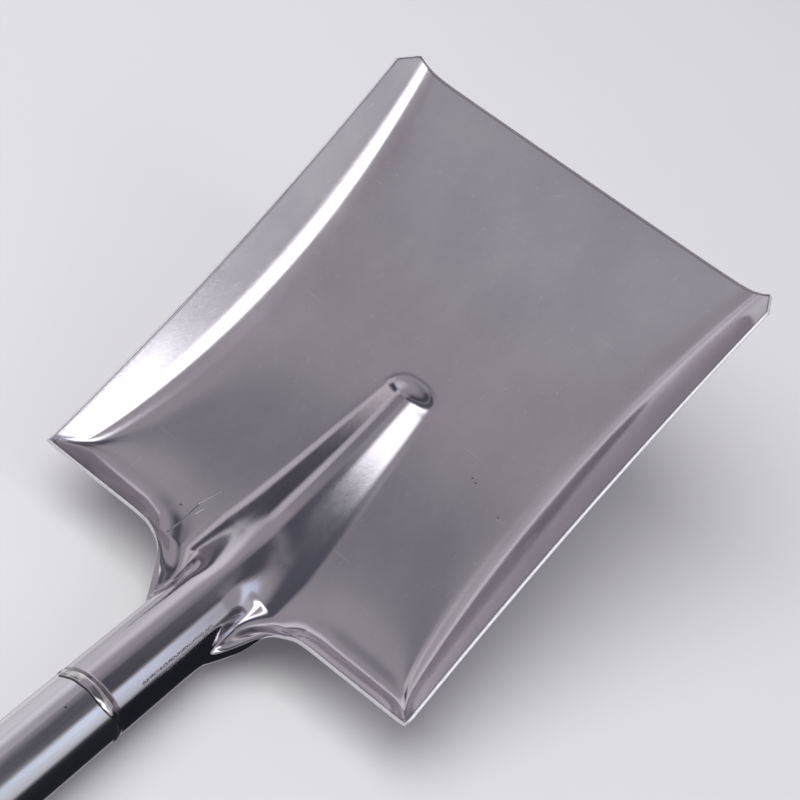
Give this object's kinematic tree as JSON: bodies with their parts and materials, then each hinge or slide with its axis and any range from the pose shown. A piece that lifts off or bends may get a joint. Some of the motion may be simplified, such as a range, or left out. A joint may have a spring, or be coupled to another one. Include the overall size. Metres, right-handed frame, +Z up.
{
  "type": "detecting shovel",
  "caption": "All-steel square-mouth shovel for metal detecting: pressed blade with folded sides, raised ridge and tube socket, welded to a tube shaft with a T-grip.",
  "frame": {"origin": "on the ground, under the middle of the shovel's box as it lies on its back", "axes": "+Z up, +Y along the shaft towards the blade's mouth, X across the blade"},
  "size_m": [0.2134, 0.9422, 0.1366],
  "materials": {
    "satin_sheet": "satin polished stainless sheet",
    "tube_steel": "polished stainless tube with fine lengthwise brushing",
    "weld": "ground and polished weld bead",
    "grip_rubber": "matte black rubber",
    "plug_plastic": "satin black plastic"
  },
  "bodies": {
    "root": {"blade": "satin_sheet", "socket_seam_weld": "weld", "socket_ring_weld": "weld", "joint_spigot": "tube_steel", "shaft_tube": "tube_steel", "grip_tube": "tube_steel", "left_grip_weld": "weld", "right_grip_weld": "weld", "left_grip_sleeve": "grip_rubber", "right_grip_sleeve": "grip_rubber", "left_grip_plug": "plug_plastic", "right_grip_plug": "plug_plastic", "shaft_end_cap": "plug_plastic"}
  },
  "joints": []
}
